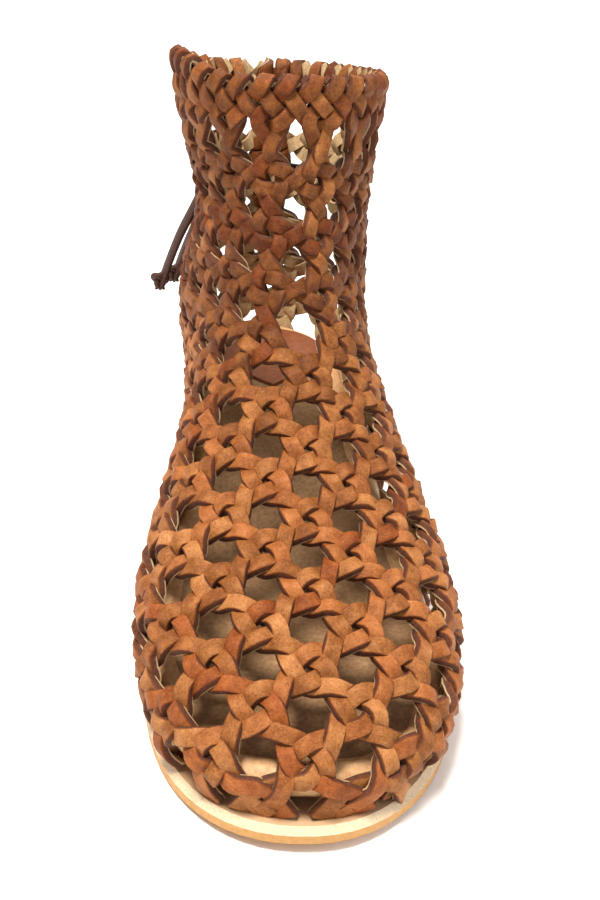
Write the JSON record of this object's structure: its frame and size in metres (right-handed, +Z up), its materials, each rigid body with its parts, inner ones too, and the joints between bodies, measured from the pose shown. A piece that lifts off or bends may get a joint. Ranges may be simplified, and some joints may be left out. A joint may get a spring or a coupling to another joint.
{
  "type": "woven ankle boot",
  "caption": "Hand-woven open-net leather ankle boot with a stacked mid heel, padded footbed and close-woven collar.",
  "frame": {"origin": "on the floor, under the middle of the boot's box", "axes": "+Y from toe to heel, +X towards the outer side of this left boot, +Z up"},
  "size_m": [0.0979, 0.244, 0.1651],
  "materials": {
    "strap_leather": "satin, lightly oiled vegetable-tanned straps",
    "sole_leather": "burnished edge, raw upper margin",
    "footbed_leather": "soft, matte",
    "suede": "napped, matte",
    "pad_leather": "smooth, satin",
    "heel_leather": "matte stacked lifts",
    "top_piece_rubber": "matte",
    "lace_leather": "flat cut lace, matte"
  },
  "bodies": {
    "root": {"upper": "strap_leather", "outsole": "sole_leather", "footbed": "footbed_leather", "insole": "suede", "heel_pad": "pad_leather", "heel_block": "heel_leather", "heel_top_piece": "top_piece_rubber", "lace_crossing": "lace_leather", "lace_end_back": "lace_leather", "lace_end_front": "lace_leather"}
  },
  "joints": []
}
